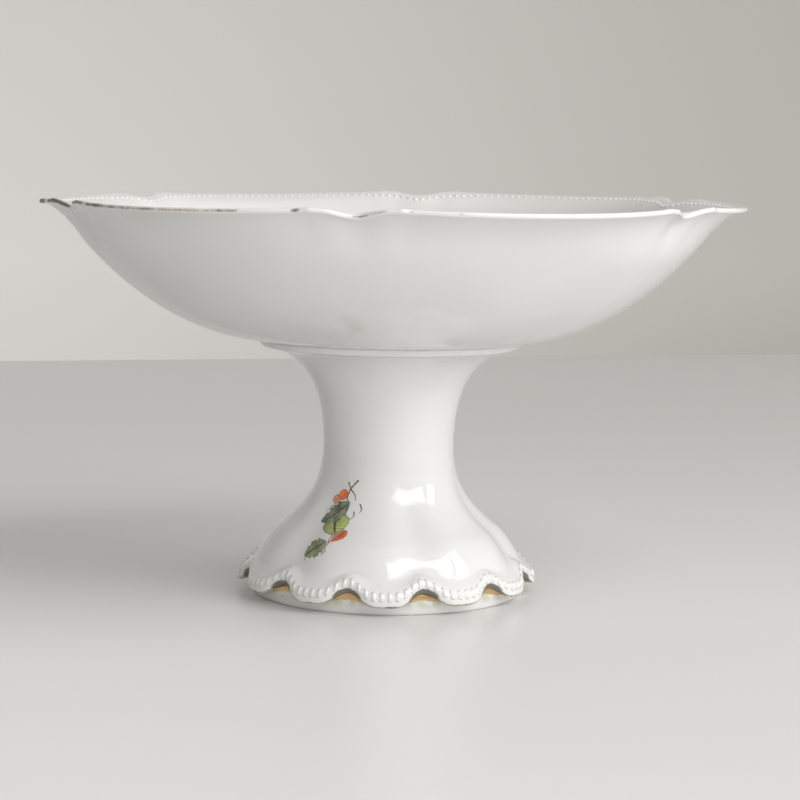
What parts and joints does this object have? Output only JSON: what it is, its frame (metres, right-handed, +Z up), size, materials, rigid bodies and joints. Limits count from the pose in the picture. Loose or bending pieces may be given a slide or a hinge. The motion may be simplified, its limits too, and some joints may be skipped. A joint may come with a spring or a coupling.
{
  "type": "footed cake stand",
  "caption": "Footed white porcelain comport: a shallow scalloped bowl bolted to a waisted, hollow pedestal with a scalloped hem.",
  "frame": {"origin": "middle of the standing ring, on the table", "axes": "+Z up along the axis of the stem, front towards -Y, +X to the right"},
  "size_m": [0.2306, 0.2242, 0.131],
  "materials": {
    "porcelain": "gloss",
    "enamel": "gloss",
    "cork": "matte",
    "leather": "matte",
    "brass": "satin",
    "steel": "satin"
  },
  "bodies": {
    "pedestal": {"pedestal": "porcelain"},
    "bowl": {"bowl": "porcelain", "seat_ring": "cork", "head_washer": "leather", "screw": "brass"},
    "washers": {"under_washer": "leather", "clamp_washer": "steel"},
    "nut": {"nut": "brass"}
  },
  "joints": [
    {"name": "bowl_lift", "type": "slide", "parent": "pedestal", "child": "bowl", "axis": [0, 0, 1], "range_m": [0, 0.03]},
    {"name": "clamp_drop", "type": "slide", "parent": "pedestal", "child": "washers", "axis": [0, 0, -1], "range_m": [0, 0.0071]},
    {"name": "nut_turn", "type": "hinge", "parent": "washers", "child": "nut", "pos_m": [0, 0, 0.0706], "axis": [0, 0, -1], "range_deg": [0, 2520]}
  ],
  "couplings": [
    {"joint": "clamp_drop", "follows": "nut_turn", "m_per_rad": 0.00015915}
  ]
}
